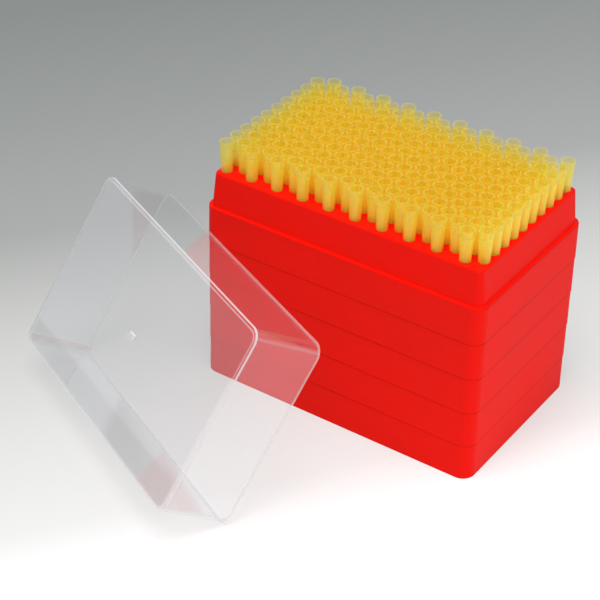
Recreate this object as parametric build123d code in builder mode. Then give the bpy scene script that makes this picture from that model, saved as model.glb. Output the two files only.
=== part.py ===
"""Stack of five nested racks of 200 microlitre pipette tips, with its clear cover taken off.

Millimetres, +Z up. The origin is the middle of the stack's footprint, on the surface it stands on.
X runs along the long side. The cover leans on the stack's vertical corner at -X, -Y.
"""
from build123d import *
from math import atan2, cos, degrees, radians, sin, sqrt
import os

# --- tips -----------------------------------------------------------------
column_count = 20            # columns of tips, side by side along X
tips_per_column = 10         # tips in a column, along Y
rim_radius = 3.55            # outside, at the mouth
rim_wall = 0.75
rim_gap = 1.1                # between the rims of neighbours
collar_height = 15.8         # part of a tip that stands above the deck
collar_foot_radius = 2.72    # outside, where the collar sits on the deck
collar_foot_round = 0.3
collar_wall = 0.55
seat_depth = 5.0             # straight length of bore, below the mouth, that the pipette's cone enters
body_step = 0.62             # the body is this much slimmer, each side, than the collar's foot
body_wall = 0.5
waist_drop = 20.0            # depth below the deck at which the taper changes
nest_clearance = 0.3         # between a tip and the tip that nests in it
point_radius = 0.5           # outside, at the lower end
point_wall = 0.27
floor_gap = 1.9              # under the lowest tips

# --- racks ----------------------------------------------------------------
rack_count = 5
deck_thickness = 1.5
tip_headroom = 1.6           # between a tip's mouth and the deck above it
end_margin = 4.1             # deck beyond the outer tips' centres, along X
side_margin = 4.85           # the same along Y
deck_corner_radius = 2.85
upper_taper = 1.7            # the upper section draws in this much, each side, on its way up
upper_wall = 1.2
skirt_wall = 1.3
skirt_flare = 0.25           # the skirt widens this much, each side, on its way down
side_gap = 0.65              # between a skirt and the upper section inside it
under_gap = 0.4              # between a deck's level and the underside of the shoulder above
hole_clearance = 0.1         # around a tip's body in the deck
shoulder_round = 0.5
upper_foot_round = 0.3
deck_round = 0.8

# --- cover ----------------------------------------------------------------
cover_headroom = 3.2         # above the tips when the cover is on
cover_inset = 0.05           # its rim stands this far inside the skirt's lower edge
cover_draft = 0.6            # its walls draw in this much, each side, towards the panel
cover_wall = 1.2
cover_edge_round = 2.0
gate_dish_radius = 4.0       # shallow dish in the middle of the panel, around the moulding gate
gate_dish_depth = 0.4
gate_radius = 2.4            # stub that the gate leaves in the dish
gate_height = 0.4            # of the stub, above the panel
cover_yaw = -25.6            # long edge, from the X axis
cover_lean = 58.9            # opening, from the floor
cover_slide = 31.8           # middle of the cover, past the corner that it leans on
cover_gap = 0.2              # between the cover's rim and that corner

# --- worked out: tips -----------------------------------------------------
tip_spacing = 2 * rim_radius + rim_gap          # hexagonal, the same to all six neighbours
column_spacing = tip_spacing * sqrt(3) / 2
mouth_radius = rim_radius - rim_wall
collar_bore = collar_foot_radius - collar_wall
body_radius = collar_foot_radius - body_step
body_bore = body_radius - body_wall
waist_radius = body_bore - nest_clearance
hole_radius = body_radius + hole_clearance

# --- worked out: racks ----------------------------------------------------
rack_pitch = collar_height + deck_thickness + tip_headroom
deck_rise = rack_pitch - skirt_wall - under_gap
deck_height = rack_pitch + deck_rise
shoulder_width = skirt_wall - skirt_flare + side_gap
deck_length = (column_count - 1) * column_spacing + 2 * end_margin
deck_width = (tips_per_column - 0.5) * tip_spacing + 2 * side_margin
upper_length = deck_length + 2 * upper_taper
upper_width = deck_width + 2 * upper_taper
upper_corner_radius = deck_corner_radius + upper_taper
rack_length = upper_length + 2 * (shoulder_width + skirt_flare)
rack_width = upper_width + 2 * (shoulder_width + skirt_flare)
corner_radius = upper_corner_radius + shoulder_width + skirt_flare
upper_taper_angle = degrees(atan2(upper_taper, deck_rise))
skirt_taper_angle = degrees(atan2(skirt_flare, rack_pitch))

# --- worked out: cover ----------------------------------------------------
cover_length = rack_length - 2 * cover_inset
cover_width = rack_width - 2 * cover_inset
cover_depth = deck_rise + collar_height + cover_headroom + cover_wall
cover_taper_angle = degrees(atan2(cover_draft, cover_depth))


def column_spots(column, deck_z):
    """Centres of one column of tips; every second column is shifted by half a spacing."""
    x = (column - (column_count - 1) / 2) * column_spacing
    shift = tip_spacing / 4 if column % 2 else -tip_spacing / 4
    middle = (tips_per_column - 1) / 2
    return [(x, (place - middle) * tip_spacing + shift, deck_z) for place in range(tips_per_column)]


def rack_spots(deck_z):
    """Centres of all the tips of one rack."""
    return [spot for column in range(column_count) for spot in column_spots(column, deck_z)]


def make_rack(base_z):
    """One rack: a skirt, a shoulder that the next rack stands on, and an upper section under the deck."""
    shoulder_z = base_z + rack_pitch
    deck_z = base_z + deck_height
    with BuildPart() as rack:
        with BuildSketch(Plane.XY.offset(base_z)):
            RectangleRounded(rack_length, rack_width, corner_radius)
        extrude(amount=rack_pitch, taper=skirt_taper_angle)
        fillet(rack.edges().group_by(Axis.Z)[-1], shoulder_round)
        with BuildSketch(Plane.XY.offset(shoulder_z)):
            RectangleRounded(upper_length, upper_width, upper_corner_radius)
        extrude(amount=deck_rise, taper=upper_taper_angle)
        foot = rack.edges(Select.LAST).filter_by_position(Axis.Z, shoulder_z, shoulder_z)
        fillet(foot, min(upper_foot_round, side_gap / 2))
        fillet(rack.edges().group_by(Axis.Z)[-1], deck_round)
        # hollow inside the skirt, open at the bottom
        with BuildSketch(Plane.XY.offset(base_z)):
            RectangleRounded(
                rack_length - 2 * skirt_wall,
                rack_width - 2 * skirt_wall,
                corner_radius - skirt_wall,
            )
        extrude(amount=rack_pitch - skirt_wall, taper=skirt_taper_angle, mode=Mode.SUBTRACT)
        # hollow inside the upper section
        with BuildSketch(Plane.XY.offset(shoulder_z - skirt_wall)):
            RectangleRounded(
                upper_length - 2 * upper_wall,
                upper_width - 2 * upper_wall,
                upper_corner_radius - upper_wall,
            )
        extrude(
            amount=skirt_wall + deck_rise - deck_thickness,
            taper=upper_taper_angle,
            mode=Mode.SUBTRACT,
        )
        # a hole for each tip
        with BuildSketch(Plane.XY.offset(deck_z)):
            with Locations(*rack_spots(deck_z)):
                Circle(hole_radius)
        extrude(amount=-deck_thickness, mode=Mode.SUBTRACT)
    return rack


def make_tip():
    """One tip with its collar's foot on z = 0: a turned hollow cone, open at both ends."""
    point_z = floor_gap - deck_height
    with BuildPart() as tip:
        with BuildSketch(Plane.XZ):
            with BuildLine():
                Polyline(
                    (mouth_radius, collar_height),
                    (rim_radius, collar_height),
                    (collar_foot_radius, 0),
                    (body_radius, 0),
                    (waist_radius, -waist_drop),
                    (point_radius, point_z),
                    (point_radius - point_wall, point_z),
                    (waist_radius - body_wall, -waist_drop),
                    (body_bore, -collar_wall),
                    (collar_bore, collar_wall),
                    (mouth_radius, collar_height - seat_depth),
                    close=True,
                )
            make_face()
        revolve(axis=Axis.Z)
        collar_foot = tip.edges().filter_by_position(Axis.Z, 0, 0).sort_by(SortBy.LENGTH)[-1]
        fillet(collar_foot, collar_foot_round)
    return tip


def set_tips(tip, spots):
    """The same tip at every spot, as separate solids."""
    with BuildPart() as tips:
        with Locations(*spots):
            add(tip.part)
    return tips


def cover_opening():
    """The plane of the cover's rim: one long edge on the floor, the other against the stack's corner."""
    yaw = radians(cover_yaw)
    lean = radians(cover_lean)
    along = Vector(cos(yaw), sin(yaw), 0)
    towards = Vector(-sin(yaw), cos(yaw), 0)        # level, square to the long edges
    up = towards * cos(lean) + Vector(0, 0, sin(lean))
    corner = Vector(corner_radius - rack_length / 2, corner_radius - rack_width / 2, 0)
    reach = corner.dot(towards) - corner_radius - cover_gap - cover_width * cos(lean)
    foot = towards * reach + along * (corner.dot(along) + cover_slide)
    return Plane(origin=foot + up * (cover_width / 2), x_dir=along, z_dir=along.cross(up))


def make_cover():
    """The clear cover: one open box whose walls draw in towards a closed panel."""
    opening = cover_opening()
    with BuildPart() as cover:
        with BuildSketch(opening):
            RectangleRounded(cover_length, cover_width, corner_radius)
        extrude(amount=cover_depth, taper=cover_taper_angle)
        panel = cover.faces().sort_by(Axis(opening.origin, opening.z_dir))[-1]
        fillet(panel.edges(), cover_edge_round)
        with BuildSketch(opening):
            RectangleRounded(
                cover_length - 2 * cover_wall,
                cover_width - 2 * cover_wall,
                corner_radius - cover_wall,
            )
        extrude(amount=cover_depth - cover_wall, taper=cover_taper_angle, mode=Mode.SUBTRACT)
        with BuildSketch(opening.offset(cover_depth)):
            Circle(gate_dish_radius)
            Circle(gate_radius, mode=Mode.SUBTRACT)
        extrude(amount=-gate_dish_depth, mode=Mode.SUBTRACT)
        with BuildSketch(opening.offset(cover_depth)):
            Circle(gate_radius)
        extrude(amount=gate_height)
    return cover


def save(piece, label):
    piece.part.label = label
    export_step(piece.part, f"parts/{label}.step")


os.makedirs("parts", exist_ok=True)
one_tip = make_tip()

for rack_number in range(1, rack_count + 1):
    rack_base = (rack_number - 1) * rack_pitch
    save(make_rack(rack_base), f"rack_{rack_number}")
    if rack_number < rack_count:
        save(set_tips(one_tip, rack_spots(rack_base + deck_height)), f"nested_tips_{rack_number}")

top_deck = (rack_count - 1) * rack_pitch + deck_height
for column in range(column_count):
    save(set_tips(one_tip, column_spots(column, top_deck)), f"tip_column_{column + 1:02d}")

save(make_cover(), "clear_cover")
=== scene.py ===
import math
import bpy
import bmesh
from mathutils import Matrix, Vector


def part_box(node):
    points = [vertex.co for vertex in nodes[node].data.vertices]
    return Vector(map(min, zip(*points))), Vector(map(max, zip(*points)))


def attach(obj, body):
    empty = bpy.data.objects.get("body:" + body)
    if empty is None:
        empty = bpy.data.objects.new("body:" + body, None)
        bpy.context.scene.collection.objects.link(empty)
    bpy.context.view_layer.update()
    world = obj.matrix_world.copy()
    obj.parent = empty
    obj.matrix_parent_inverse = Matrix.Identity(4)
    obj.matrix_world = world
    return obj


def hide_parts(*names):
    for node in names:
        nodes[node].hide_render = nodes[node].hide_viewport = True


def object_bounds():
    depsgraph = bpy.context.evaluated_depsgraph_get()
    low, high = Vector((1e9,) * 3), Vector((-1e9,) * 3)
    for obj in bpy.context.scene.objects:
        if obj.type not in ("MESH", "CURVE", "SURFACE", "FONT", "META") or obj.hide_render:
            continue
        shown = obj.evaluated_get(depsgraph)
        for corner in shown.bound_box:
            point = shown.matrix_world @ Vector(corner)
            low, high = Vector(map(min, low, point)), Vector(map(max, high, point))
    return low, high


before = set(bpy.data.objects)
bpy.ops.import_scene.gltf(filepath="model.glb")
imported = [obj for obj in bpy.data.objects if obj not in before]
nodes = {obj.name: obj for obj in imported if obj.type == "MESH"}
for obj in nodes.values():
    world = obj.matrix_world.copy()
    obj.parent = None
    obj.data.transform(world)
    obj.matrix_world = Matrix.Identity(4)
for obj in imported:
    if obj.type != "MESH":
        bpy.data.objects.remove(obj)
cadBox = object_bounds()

mm = 0.001
roundMiddle = 0.3    # of a rounding's radius: how far in from the corner its middle point lies
print("frame loaded:", len(nodes), "pieces")


# node helpers

mixFirst, mixSecond, mixResult = 6, 7, 2    # the Mix node's sockets for colours


def newMaterial(name):
    material = bpy.data.materials.new(name)
    material.use_nodes = True
    tree = material.node_tree
    for node in list(tree.nodes):
        tree.nodes.remove(node)
    output = tree.nodes.new("ShaderNodeOutputMaterial")
    output.location = (900, 0)
    return material, tree, output


def addNode(tree, kind, place, **settings):
    node = tree.nodes.new(kind)
    node.location = place
    for key, value in settings.items():
        setattr(node, key, value)
    return node


def link(tree, source, socket, target, into):
    tree.links.new(source.outputs[socket], target.inputs[into])


def addMath(tree, operation, place, source, socket, amount=None):
    # one number in, and a second one where the operation takes two
    node = addNode(tree, "ShaderNodeMath", place, operation=operation)
    link(tree, source, socket, node, 0)
    if amount is not None:
        node.inputs[1].default_value = amount
    return node


def addRange(tree, place, source, socket, low, high):
    # turns 0 to 1 into low to high
    node = addNode(tree, "ShaderNodeMapRange", place)
    node.inputs["To Min"].default_value = low
    node.inputs["To Max"].default_value = high
    link(tree, source, socket, node, "Value")
    return node


def setRamp(node, stops):
    ramp = node.color_ramp
    while len(ramp.elements) > 1:
        ramp.elements.remove(ramp.elements[-1])
    for index, (place, colour) in enumerate(stops):
        stop = ramp.elements[0] if index == 0 else ramp.elements.new(place)
        stop.position = place
        stop.color = (*colour, 1)


def paintNode(node, material):
    node.data.materials.clear()
    node.data.materials.append(material)


# racks: satin red polypropylene, all five from one mould

rackLook = {
    "colour": (0.8, 0.006, 0.002),
    "colourWorn": (0.75, 0.007, 0.003),
    # colour of the painted shade in the seams
    "colourSeamShade": (0.25, 0.002, 0.001),
    "wornBelow": 0.3,    # level of the mottle
    "freshAbove": 0.62,
    "mottleScale": 22,
    "mottleDetail": 3,
    "seamShadeLong": 0.08,    # on the long sides
    "seamShadeShort": 0.9,    # on the short sides
    "seamTurn": 0.7,    # how far round a corner the short side's shade begins
    "seamHalf": 0.42 * mm,
    "seamDrop": 0.45 * mm,    # below the lower edge of the skirt above
    "roughness": 0.45,
    "roughnessSpread": 0.06,
    "specular": 0.05,
    "grainScale": 900,
    "grainHeight": 0.02 * mm,
    "grainStrength": 0.25,
}
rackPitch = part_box("rack_2")[0].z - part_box("rack_1")[0].z    # height that each rack adds


def addPaintedSeamShade(tree, coords, look):
    # painted shade in the seam under each skirt, deeper on the short sides than on the long ones
    spot = addNode(tree, "ShaderNodeSeparateXYZ", (-650, 500))
    link(tree, coords, "Object", spot, "Vector")
    lift = addMath(tree, "ADD", (-500, 500), spot, "Z", look["seamDrop"])
    away = addMath(tree, "PINGPONG", (-350, 500), lift, 0, rackPitch / 2)    # from the nearest seam
    seam = addRange(tree, (-200, 500), away, 0, 1, 0)
    seam.interpolation_type = "SMOOTHSTEP"
    seam.inputs["From Max"].default_value = look["seamHalf"]
    facing = addNode(tree, "ShaderNodeSeparateXYZ", (-650, 750))
    link(tree, coords, "Normal", facing, "Vector")
    sideways = addMath(tree, "ABSOLUTE", (-500, 750), facing, "X")
    depth = addRange(tree, (-350, 750), sideways, 0, look["seamShadeLong"], look["seamShadeShort"])
    depth.inputs["From Min"].default_value = look["seamTurn"]
    shade = addMath(tree, "MULTIPLY", (0, 600), seam, "Result")
    link(tree, depth, "Result", shade, 1)
    return shade


def makeRackMaterial(look):
    material, tree, output = newMaterial("rackRed")
    coords = addNode(tree, "ShaderNodeTexCoord", (-900, 0))
    mottle = addNode(tree, "ShaderNodeTexNoise", (-650, 150))
    mottle.inputs["Scale"].default_value = look["mottleScale"]
    mottle.inputs["Detail"].default_value = look["mottleDetail"]
    link(tree, coords, "Object", mottle, "Vector")
    colours = addNode(tree, "ShaderNodeValToRGB", (-400, 250))
    setRamp(colours, [
        (look["wornBelow"], look["colourWorn"]),
        (look["freshAbove"], look["colour"]),
    ])
    link(tree, mottle, "Fac", colours, "Fac")
    # painted shade along the seams darkens the colour there
    seamShade = addPaintedSeamShade(tree, coords, look)
    shaded = addNode(tree, "ShaderNodeMix", (300, 350), data_type="RGBA")
    shaded.inputs[mixSecond].default_value = (*look["colourSeamShade"], 1)
    link(tree, seamShade, 0, shaded, 0)
    link(tree, colours, "Color", shaded, mixFirst)
    low = look["roughness"] - look["roughnessSpread"]
    high = look["roughness"] + look["roughnessSpread"]
    rough = addRange(tree, (-400, 0), mottle, "Fac", low, high)
    grain = addNode(tree, "ShaderNodeTexNoise", (-650, -200))
    grain.inputs["Scale"].default_value = look["grainScale"]
    link(tree, coords, "Object", grain, "Vector")
    bump = addNode(tree, "ShaderNodeBump", (-400, -250))
    bump.inputs["Distance"].default_value = look["grainHeight"]
    bump.inputs["Strength"].default_value = look["grainStrength"]
    link(tree, grain, "Fac", bump, "Height")
    shader = addNode(tree, "ShaderNodeBsdfPrincipled", (600, 0))
    shader.inputs["Specular IOR Level"].default_value = look["specular"]
    link(tree, shaded, mixResult, shader, "Base Color")
    link(tree, rough, "Result", shader, "Roughness")
    link(tree, bump, "Normal", shader, "Normal")
    link(tree, shader, "BSDF", output, "Surface")
    return material


rackMaterial = makeRackMaterial(rackLook)
for name, node in nodes.items():
    if name.startswith("rack"):
        paintNode(node, rackMaterial)
print("racks painted")


# thin translucent plastic, for the tips and the cover: each skin of a wall lets part of the light
# straight through, scatters part of it and gives a gloss that grows at a glancing angle

def makeThinMaterial(name, look):
    material, tree, output = newMaterial(name)
    clear = addNode(tree, "ShaderNodeBsdfTransparent", (-100, 300))
    clear.inputs["Color"].default_value = (*look["clearTint"], 1)
    gloss = addNode(tree, "ShaderNodeBsdfGlossy", (-100, 100))
    gloss.inputs["Roughness"].default_value = look["roughness"]
    gloss.inputs["Color"].default_value = (*look["glossTint"], 1)
    # the gloss is the same from both sides of a skin
    facing = addNode(tree, "ShaderNodeLayerWeight", (-700, 500))
    glance = addMath(tree, "POWER", (-500, 500), facing, "Facing", look["glancePower"])
    shine = addRange(tree, (-300, 500), glance, 0, look["shine"], look["glanceShine"])
    skin = addNode(tree, "ShaderNodeMixShader", (150, 250))
    link(tree, shine, "Result", skin, 0)
    link(tree, clear, "BSDF", skin, 1)
    link(tree, gloss, "BSDF", skin, 2)
    solid = addNode(tree, "ShaderNodeBsdfDiffuse", (-100, -100))
    solid.inputs["Color"].default_value = (*look["colour"], 1)
    through = addNode(tree, "ShaderNodeBsdfTranslucent", (-100, -300))
    through.inputs["Color"].default_value = (*look["colour"], 1)
    body = addNode(tree, "ShaderNodeMixShader", (150, -150))
    body.inputs[0].default_value = look["through"]
    link(tree, solid, "BSDF", body, 1)
    link(tree, through, "BSDF", body, 2)
    milk = addNode(tree, "ShaderNodeMixShader", (500, 0))
    milk.inputs[0].default_value = look["milk"]
    link(tree, skin, "Shader", milk, 1)
    link(tree, body, "Shader", milk, 2)
    link(tree, milk, "Shader", output, "Surface")
    return material


# tips: translucent yellow polypropylene

tipLook = {
    "clearTint": (1.0, 0.985, 0.86),    # of the light that goes straight through
    "glossTint": (1.0, 1.0, 1.0),
    "colour": (1.0, 0.94, 0.12),
    "roughness": 0.25,
    "shine": 0.03,
    "glancePower": 5,
    "glanceShine": 1.0,
    "through": 0.5,    # of the scattered light, the share that comes out at the far side
    "milk": 0.32,    # share of the light that is scattered
}
tipLooks = {
    "yellow": tipLook,
    # the foot's deeper orange is a painted tint of red light from the deck
    "foot": dict(tipLook, colour=(1.0, 0.7, 0.16), milk=0.1, glanceShine=0.3),    # clearer
    "mouth": dict(tipLook, milk=0.18),    # clearer and smooth, above the ribs
}
tipFinishes = list(tipLooks)

# sizes of a tip, from its rim down
tipShape = {
    "perColumn": 10,
    "rimRadius": 3.55 * mm,
    "rimWall": 0.75 * mm,
    "rimRound": 0.18 * mm,
    "collarHeight": 15.8 * mm,
    "seatDepth": 5.0 * mm,
    "collarWall": 0.55 * mm,
    "footRadius": 2.72 * mm,
    "footRound": 0.3 * mm,
    "seatLift": 0.05 * mm,    # keeps the foot's underside off the deck, which then shows through
    "boreStep": 0.6 * mm,    # the bore narrows over this height above and below the deck
    "bodyStep": 0.62 * mm,
    "bodyTop": 0.4 * mm,    # the body is straight this far below the deck
    "bodyWall": 0.5 * mm,
    "waistDrop": 20 * mm,
    "nestClearance": 0.3 * mm,
    "pointRadius": 0.5 * mm,
    "pointWall": 0.27 * mm,
    "ribs": 8,
    "ribDepth": 0.13 * mm,
    "ribFoot": 0.9 * mm,    # lowest full depth, above the deck
    "ribMiddle": 0.45,    # share of the collar's height
    "ribDrop": 3.2 * mm,    # the ribs end this far below the mouth
    "ribFade": 0.5 * mm,
    "footBands": range(4, 7),    # bands of the mesh, from the point up the outside, then down the bore
    "mouthBands": range(11, 17),
    "around": 48,
    "sharpAngle": 38,
}


def tipProfile(shape, length):
    # rings of (radius, height above the deck, how much the ribs show)
    rim, foot, point = shape["rimRadius"], shape["footRadius"], shape["pointRadius"]
    turn, edge = shape["rimRound"], shape["footRound"]
    top, wall, lift = shape["collarHeight"], shape["bodyWall"], shape["seatLift"]
    body = foot - shape["bodyStep"]
    waist = body - wall - shape["nestClearance"]
    mouth = rim - shape["rimWall"]
    ribFoot, ribMiddle = shape["ribFoot"], shape["ribMiddle"] * top
    ribTop = top - shape["ribDrop"]
    ribEnd = ribTop - shape["ribFade"]

    def collar(height):
        return foot + (rim - foot) * height / top

    return [
        (point - shape["pointWall"], top - length, 0),
        (point, top - length, 0),
        (waist, -shape["waistDrop"], 0),
        (body, -shape["bodyTop"], 0),
        (body, lift, 0),
        (foot - edge, lift, 0),
        (foot - roundMiddle * edge, roundMiddle * edge, 0),
        (collar(edge), edge, 0),
        (collar(ribFoot), ribFoot, 1),
        (collar(ribMiddle), ribMiddle, 1),
        (collar(ribEnd), ribEnd, 1),
        (collar(ribTop), ribTop, 0),
        (collar(top - turn), top - turn, 0),
        (rim - roundMiddle * turn, top - roundMiddle * turn, 0),
        (rim - turn, top, 0),
        (mouth + turn, top, 0),
        (mouth, top - turn, 0),
        (mouth, top - shape["seatDepth"], 0),
        (foot - shape["collarWall"], shape["boreStep"], 0),
        (body - wall, -shape["boreStep"], 0),
        (waist - wall, -shape["waistDrop"], 0),
    ]


def tipFinish(shape, band):
    if band in shape["footBands"]:
        return tipFinishes.index("foot")
    if band in shape["mouthBands"]:
        return tipFinishes.index("mouth")
    return tipFinishes.index("yellow")


def makeColumnMesh(shape, rings, places):
    # one mesh that holds all the tips of a column
    count = shape["around"]
    points, faces, finishes = [], [], []
    for centre in places:
        first = len(points)
        for radius, height, ribbed in rings:
            for step in range(count):
                angle = 2 * math.pi * step / count
                groove = (1 - math.cos(shape["ribs"] * angle)) / 2
                reach = radius - shape["ribDepth"] * ribbed * groove
                points.append((
                    centre.x + reach * math.cos(angle),
                    centre.y + reach * math.sin(angle),
                    centre.z + height,
                ))
        for band in range(len(rings)):
            low = first + band * count
            high = first + (band + 1) % len(rings) * count
            for step in range(count):
                after = (step + 1) % count
                faces.append((low + step, low + after, high + after, high + step))
                finishes.append(tipFinish(shape, band))
    mesh = bpy.data.meshes.new("tipColumn")
    mesh.from_pydata(points, [], faces)
    mesh.polygons.foreach_set("material_index", finishes)
    mesh.update()
    mesh.shade_smooth()
    mesh.set_sharp_from_angle(angle=math.radians(shape["sharpAngle"]))
    return mesh


def makeTips(shape, materials):
    count, rim = shape["perColumn"], shape["rimRadius"]
    for name in sorted(nodes):
        if not name.startswith("tip_column"):
            continue
        low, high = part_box(name)
        spread = (high.y - low.y - 2 * rim) / (count - 1)
        deck = high.z - shape["collarHeight"]
        places = [
            Vector(((low.x + high.x) / 2, low.y + rim + index * spread, deck))
            for index in range(count)
        ]
        mesh = makeColumnMesh(shape, tipProfile(shape, high.z - low.z), places)
        for material in materials:
            mesh.materials.append(material)
        tips = bpy.data.objects.new("tips_" + name[-2:], mesh)
        bpy.context.scene.collection.objects.link(tips)
        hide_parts(name)
        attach(tips, "root")


tipMaterials = [
    makeThinMaterial("tip" + finish.capitalize(), look)
    for finish, look in tipLooks.items()
]
for name, node in nodes.items():
    if name.startswith("nested"):
        paintNode(node, tipMaterials[tipFinishes.index("yellow")])
makeTips(tipShape, tipMaterials)
print("tips made")


# cover: clear polystyrene

coverShape = {
    "length": 150.33 * mm,
    "width": 94.8 * mm,
    "depth": 37.4 * mm,
    "draft": 0.6 * mm,
    "wall": 1.2 * mm,
    "cornerRadius": 6.5 * mm,
    "edgeRound": 2.0 * mm,
    "innerRound": 1.0 * mm,
    "rimRound": 0.35 * mm,
    "lead": 0.3 * mm,    # narrow band beside each rounding, which keeps the flat faces flat in the light
    "dishRadius": 4.0 * mm,
    "dishDepth": 0.4 * mm,
    "stubRadius": 2.4 * mm,
    "stubHeight": 0.4 * mm,
    "stubRound": 0.25 * mm,
    "coreRadius": 0.96 * mm,    # innermost ring of the mesh, in the stub and behind it
    "weldGap": 0.001 * mm,
    "yaw": -25.6,    # long edge, from the X axis
    "lean": 58.9,    # opening, from the floor
    "cornerSteps": 12,
    "roundSteps": 6,
    "outerPaintedHighlight": (1, 2),    # steps of the panel's rounding in the milky edge finish, a painted highlight
    "innerPaintedHighlight": (5,),
    "paintedStreaks": (3, 4, 9),    # steps of the upright corners in the milkier corner finish, painted highlight streaks
    "sharpAngle": 50,
}
coverWallLook = {
    "clearTint": (1.0, 1.0, 1.0),
    "glossTint": (0.88, 0.94, 0.98),
    "colour": (0.9, 0.94, 0.97),
    "roughness": 0.03,
    "shine": 0.05,
    "glancePower": 5,
    "glanceShine": 0.6,
    "through": 0.5,
    "milk": 0.04,
}
coverLooks = {
    "wall": coverWallLook,
    # edge, rim and corner are milkier than the wall: painted highlights on the rounded edges, the rim,
    # the gate and streaks down the upright corners
    "edge": dict(coverWallLook, roughness=0.08, shine=0.1, milk=0.7),
    "rim": dict(coverWallLook, roughness=0.08, milk=0.35),
    "corner": dict(coverWallLook, milk=0.11),
    # the panel's darker tint is painted shade
    "panel": dict(coverWallLook, clearTint=(0.945, 0.945, 0.95), milk=0.03),
}
coverFinishes = list(coverLooks)


def roundedRing(halfX, halfY, radius, height, steps):
    # one closed ring of a rectangle with rounded corners
    ring = []
    for corner, (signX, signY) in enumerate(((1, 1), (-1, 1), (-1, -1), (1, -1))):
        centreX = signX * (halfX - radius)
        centreY = signY * (halfY - radius)
        for step in range(steps + 1):
            angle = math.pi / 2 * (corner + step / steps)
            x = centreX + radius * math.cos(angle)
            y = centreY + radius * math.sin(angle)
            ring.append((x, y, height))
    return ring


def roundingRings(shape, side, height, radius, shine):
    # from the top of the walls round to the panel
    steps = shape["roundSteps"]
    rings = []
    for step in range(1, steps + 1):
        turn = math.pi / 2 * step / steps
        inset = side + radius * (1 - math.cos(turn))
        finish = "edge" if step in shine else "wall"
        rings.append((inset, height + radius * math.sin(turn), finish))
    rings.append((side + radius + shape["lead"], height + radius, "panel"))
    return rings


def coverRings(shape):
    # rings of (inset from the rim's outline, height, finish of the band that ends here)
    depth, wall, lead = shape["depth"], shape["wall"], shape["lead"]
    edge, inner, rim = shape["edgeRound"], shape["innerRound"], shape["rimRound"]
    slope = shape["draft"] / depth
    shoulder = depth - edge
    outside = [
        (wall / 2, 0, "rim"),
        (rim, 0, "rim"),
        (roundMiddle * rim, roundMiddle * rim, "edge"),
        (slope * rim, rim, "edge"),
        (slope * (rim + lead), rim + lead, "wall"),
        (slope * (shoulder - lead), shoulder - lead, "wall"),
        (slope * shoulder, shoulder, "wall"),
    ]
    outside += roundingRings(shape, slope * shoulder, shoulder, edge, shape["outerPaintedHighlight"])
    shoulder = depth - wall - inner
    inside = [
        (wall / 2, 0, "rim"),
        (wall - rim, 0, "rim"),
        (wall - roundMiddle * rim, roundMiddle * rim, "rim"),
        (wall, rim, "rim"),
        (wall + slope * lead, rim + lead, "wall"),
        (wall + slope * (shoulder - lead), shoulder - lead, "wall"),
        (wall + slope * shoulder, shoulder, "wall"),
    ]
    inside += roundingRings(shape, wall + slope * shoulder, shoulder, inner, shape["innerPaintedHighlight"])
    return outside, inside


def gateRings(shape):
    # rings of (radius, height, finish): a shallow dish in the panel, and the gate's stub in it, its
    # sides in the milky rim and edge finishes of painted highlight
    dish, stub, soft = shape["dishRadius"], shape["stubRadius"], shape["stubRound"]
    depth = shape["depth"]
    low = depth - shape["dishDepth"]
    top = depth + shape["stubHeight"]
    return [
        (dish + soft + shape["lead"], depth, "panel"),
        (dish + soft, depth, "panel"),
        (dish, depth - soft, "rim"),
        (dish - soft, low, "rim"),
        (stub + soft, low, "panel"),
        (stub, low + soft, "edge"),
        (stub, top - soft, "edge"),
        (stub - roundMiddle * soft, top - roundMiddle * soft, "edge"),
        (stub - soft, top, "edge"),
        (shape["coreRadius"], top, "edge"),
    ]


def addRings(bm, shape, rings, flip):
    halfX, halfY = shape["length"] / 2, shape["width"] / 2
    radius, steps = shape["cornerRadius"], shape["cornerSteps"]
    rows = []
    for inset, height, finish in rings:
        spots = roundedRing(halfX - inset, halfY - inset, radius - inset, height, steps)
        rows.append([bm.verts.new(spot) for spot in spots])
    for index in range(len(rows) - 1):
        low, high = rows[index], rows[index + 1]
        finish = rings[index + 1][2]
        for place in range(len(low)):
            after = (place + 1) % len(low)
            corners = [low[place], low[after], high[after], high[place]]
            face = bm.faces.new(reversed(corners) if flip else corners)
            streak = finish == "wall" and place % (steps + 1) in shape["paintedStreaks"]
            face.material_index = coverFinishes.index("corner" if streak else finish)
    return rows[-1]


def addDisc(bm, around, circleRings, flip):
    # closes a ring with a flat face that holds a turned feature in its middle
    previous = around
    for radius, height, finish in circleRings:
        ring = []
        for spot in around:
            angle = math.atan2(spot.co.y, spot.co.x)
            x = radius * math.cos(angle)
            y = radius * math.sin(angle)
            ring.append(bm.verts.new((x, y, height)))
        for place in range(len(around)):
            after = (place + 1) % len(around)
            corners = [previous[place], previous[after], ring[after], ring[place]]
            face = bm.faces.new(reversed(corners) if flip else corners)
            face.material_index = coverFinishes.index(finish)
        previous = ring
    face = bm.faces.new(reversed(previous) if flip else previous)
    face.material_index = coverFinishes.index("panel")


def makeCoverMesh(shape):
    # the cover with its rim on z = 0 and its panel on top
    bm = bmesh.new()
    outside, inside = coverRings(shape)
    outerTop = addRings(bm, shape, outside, False)
    innerTop = addRings(bm, shape, inside, True)
    addDisc(bm, outerTop, gateRings(shape), False)
    floor = shape["depth"] - shape["wall"]
    behindGate = [(shape["dishRadius"], floor, "panel"), (shape["coreRadius"], floor, "panel")]
    addDisc(bm, innerTop, behindGate, True)
    bmesh.ops.remove_doubles(bm, verts=bm.verts, dist=shape["weldGap"])
    bmesh.ops.recalc_face_normals(bm, faces=bm.faces)
    mesh = bpy.data.meshes.new("cover")
    bm.to_mesh(mesh)
    bm.free()
    mesh.shade_smooth()
    mesh.set_sharp_from_angle(angle=math.radians(shape["sharpAngle"]))
    return mesh


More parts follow.
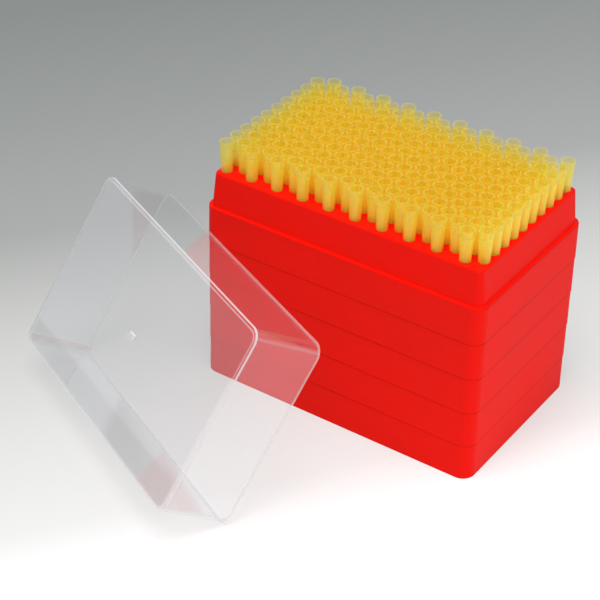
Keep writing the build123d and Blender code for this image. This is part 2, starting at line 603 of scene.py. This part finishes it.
def leanCover(mesh, shape):
    # turns it as it leans, and sets it in the place of the CAD's cover
    yaw, lean = math.radians(shape["yaw"]), math.radians(shape["lean"])
    along = Vector((math.cos(yaw), math.sin(yaw), 0))
    level = Vector((-math.sin(yaw), math.cos(yaw), 0))
    up = level * math.cos(lean) + Vector((0, 0, math.sin(lean)))
    mesh.transform(Matrix((along, up, along.cross(up))).transposed().to_4x4())
    spots = [vertex.co for vertex in mesh.vertices]
    cornerLow = Vector(min(spot[axis] for spot in spots) for axis in range(3))
    mesh.transform(Matrix.Translation(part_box("clear_cover")[0] - cornerLow))


def makeCover(shape, looks):
    mesh = makeCoverMesh(shape)
    leanCover(mesh, shape)
    for finish, look in looks.items():
        mesh.materials.append(makeThinMaterial("cover" + finish.capitalize(), look))
    cover = bpy.data.objects.new("cover", mesh)
    bpy.context.scene.collection.objects.link(cover)
    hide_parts("clear_cover")
    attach(cover, "root")


makeCover(coverShape, coverLooks)
print("cover made")


# studio: a pale floor whose colour darkens away from the viewer, painted shade for the light's fall-off

studio = {
    "floorHalf": 3.0,
    "floorRoughness": 0.6,
    "floorSpecular": 0.2,
    "stops": [    # metres towards the viewer, and the floor's colour there
        (-0.45, (0.24, 0.255, 0.25)),
        (-0.30, (0.30, 0.315, 0.31)),
        (-0.18, (0.37, 0.38, 0.375)),
        (-0.09, (0.555, 0.565, 0.555)),
        (0.0, (0.69, 0.70, 0.69)),
        (0.06, (0.76, 0.765, 0.76)),
        (0.105, (0.98, 0.975, 0.975)),
    ],
    "turn": -20,    # of the sweep, from the line of sight
    "glow": 0.55,
    "glowStrength": 1.08,
    "world": 0.34,
    "worldGloss": 1.0,
    "keyPower": 21,
    "keySize": 0.8,
    "keyPlace": (0.06, -0.38, 1.42),
    "fillPower": 7,
    "fillSize": 1.0,
    "fillPlace": (1.5, 0.1, 0.6),
    "bounces": 20,    # light crosses many thin walls among the tips
    "diffuseBounces": 12,
    "clearBounces": 32,
}
cameraSetup = {
    "azimuth": 34.0,
    "elevation": 34.5,
    "roll": 1.25,
    "lens": 110.64,
    "sensor": 36,
    "distance": 0.85,
    "aim": (-0.01746, -0.05028, 0.06554),
    "clipEnd": 20,
}


def makeFloorMaterial(setup):
    material, tree, output = newMaterial("studioFloor")
    coords = addNode(tree, "ShaderNodeTexCoord", (-900, 0))
    turned = addNode(tree, "ShaderNodeMapping", (-700, 0))
    heading = 90 - cameraSetup["azimuth"] + setup["turn"]
    turned.inputs["Rotation"].default_value[2] = math.radians(heading)
    link(tree, coords, "Object", turned, "Vector")
    split = addNode(tree, "ShaderNodeSeparateXYZ", (-500, 0))
    link(tree, turned, "Vector", split, "Vector")
    start, end = setup["stops"][0][0], setup["stops"][-1][0]
    span = addRange(tree, (-300, 0), split, "X", 0, 1)
    span.inputs["From Min"].default_value = start
    span.inputs["From Max"].default_value = end
    ramp = addNode(tree, "ShaderNodeValToRGB", (-100, 0))
    setRamp(ramp, [((place - start) / (end - start), colour) for place, colour in setup["stops"]])
    link(tree, span, "Result", ramp, "Fac")
    shader = addNode(tree, "ShaderNodeBsdfPrincipled", (400, 0))
    shader.inputs["Roughness"].default_value = setup["floorRoughness"]
    shader.inputs["Specular IOR Level"].default_value = setup["floorSpecular"]
    link(tree, ramp, "Color", shader, "Base Color")
    # part of what the viewer sees of the floor is its own pale glow, so that shadows stay soft
    glow = addNode(tree, "ShaderNodeEmission", (400, -300))
    glow.inputs["Strength"].default_value = setup["glowStrength"]
    link(tree, ramp, "Color", glow, "Color")
    path = addNode(tree, "ShaderNodeLightPath", (-100, 500))
    seen = addMath(tree, "MAXIMUM", (100, 500), path, "Is Camera Ray")
    link(tree, path, "Is Glossy Ray", seen, 1)
    seenThrough = addMath(tree, "MAXIMUM", (200, 350), seen, 0)
    link(tree, path, "Is Transmission Ray", seenThrough, 1)
    share = addMath(tree, "MULTIPLY", (350, 500), seenThrough, 0, setup["glow"])
    mix = addNode(tree, "ShaderNodeMixShader", (650, 0))
    link(tree, share, 0, mix, 0)
    link(tree, shader, "BSDF", mix, 1)
    link(tree, glow, "Emission", mix, 2)
    link(tree, mix, "Shader", output, "Surface")
    return material


def makeFloor(setup):
    half = setup["floorHalf"]
    corners = [(-half, -half, 0), (half, -half, 0), (half, half, 0), (-half, half, 0)]
    mesh = bpy.data.meshes.new("studioFloor")
    mesh.from_pydata(corners, [], [(0, 1, 2, 3)])
    mesh.materials.append(makeFloorMaterial(setup))
    floor = bpy.data.objects.new("studioFloor", mesh)
    bpy.context.scene.collection.objects.link(floor)


def makeLamp(name, power, size, place, target):
    lamp = bpy.data.lights.new(name, "AREA")
    lamp.energy = power
    lamp.size = size
    lampObject = bpy.data.objects.new(name, lamp)
    lampObject.location = place
    away = Vector(place) - target
    lampObject.rotation_euler = away.to_track_quat("Z", "Y").to_euler()
    lampObject.visible_glossy = False    # the bright room stands in for it in the gloss
    bpy.context.scene.collection.objects.link(lampObject)


def makeWorld(setup):
    world = bpy.data.worlds.new("studioLight")
    world.use_nodes = True
    tree = world.node_tree
    background = tree.nodes["Background"]
    background.inputs["Color"].default_value = (1, 1, 1, 1)
    # glossy faces see a brighter room
    path = addNode(tree, "ShaderNodeLightPath", (-600, 0))
    strength = addRange(tree, (-300, 0), path, "Is Glossy Ray", setup["world"], setup["worldGloss"])
    link(tree, strength, "Result", background, "Strength")
    bpy.context.scene.world = world


def makeCamera(setup):
    azimuth, elevation = math.radians(setup["azimuth"]), math.radians(setup["elevation"])
    look = Vector((
        -math.sin(azimuth) * math.cos(elevation),
        math.cos(azimuth) * math.cos(elevation),
        -math.sin(elevation),
    ))
    data = bpy.data.cameras.new("studioCamera")
    data.lens = setup["lens"]
    data.sensor_width = setup["sensor"]
    data.clip_end = setup["clipEnd"]
    camera = bpy.data.objects.new("studioCamera", data)
    turned = look.to_track_quat("-Z", "Y").to_matrix().to_4x4()
    roll = Matrix.Rotation(math.radians(setup["roll"]), 4, "Z")
    spot = Vector(setup["aim"]) - look * setup["distance"]
    camera.matrix_world = Matrix.Translation(spot) @ turned @ roll
    bpy.context.scene.collection.objects.link(camera)
    bpy.context.scene.camera = camera


objectCentre = (Vector(cadBox[0]) + Vector(cadBox[1])) / 2
makeFloor(studio)
makeWorld(studio)
makeLamp("keyLamp", studio["keyPower"], studio["keySize"], studio["keyPlace"], objectCentre)
makeLamp("fillLamp", studio["fillPower"], studio["fillSize"], studio["fillPlace"], objectCentre)
makeCamera(cameraSetup)
bpy.context.scene.view_settings.view_transform = "Standard"
bpy.context.scene.cycles.max_bounces = studio["bounces"]
bpy.context.scene.cycles.diffuse_bounces = studio["diffuseBounces"]
bpy.context.scene.cycles.transparent_max_bounces = studio["clearBounces"]
print("studio ready")
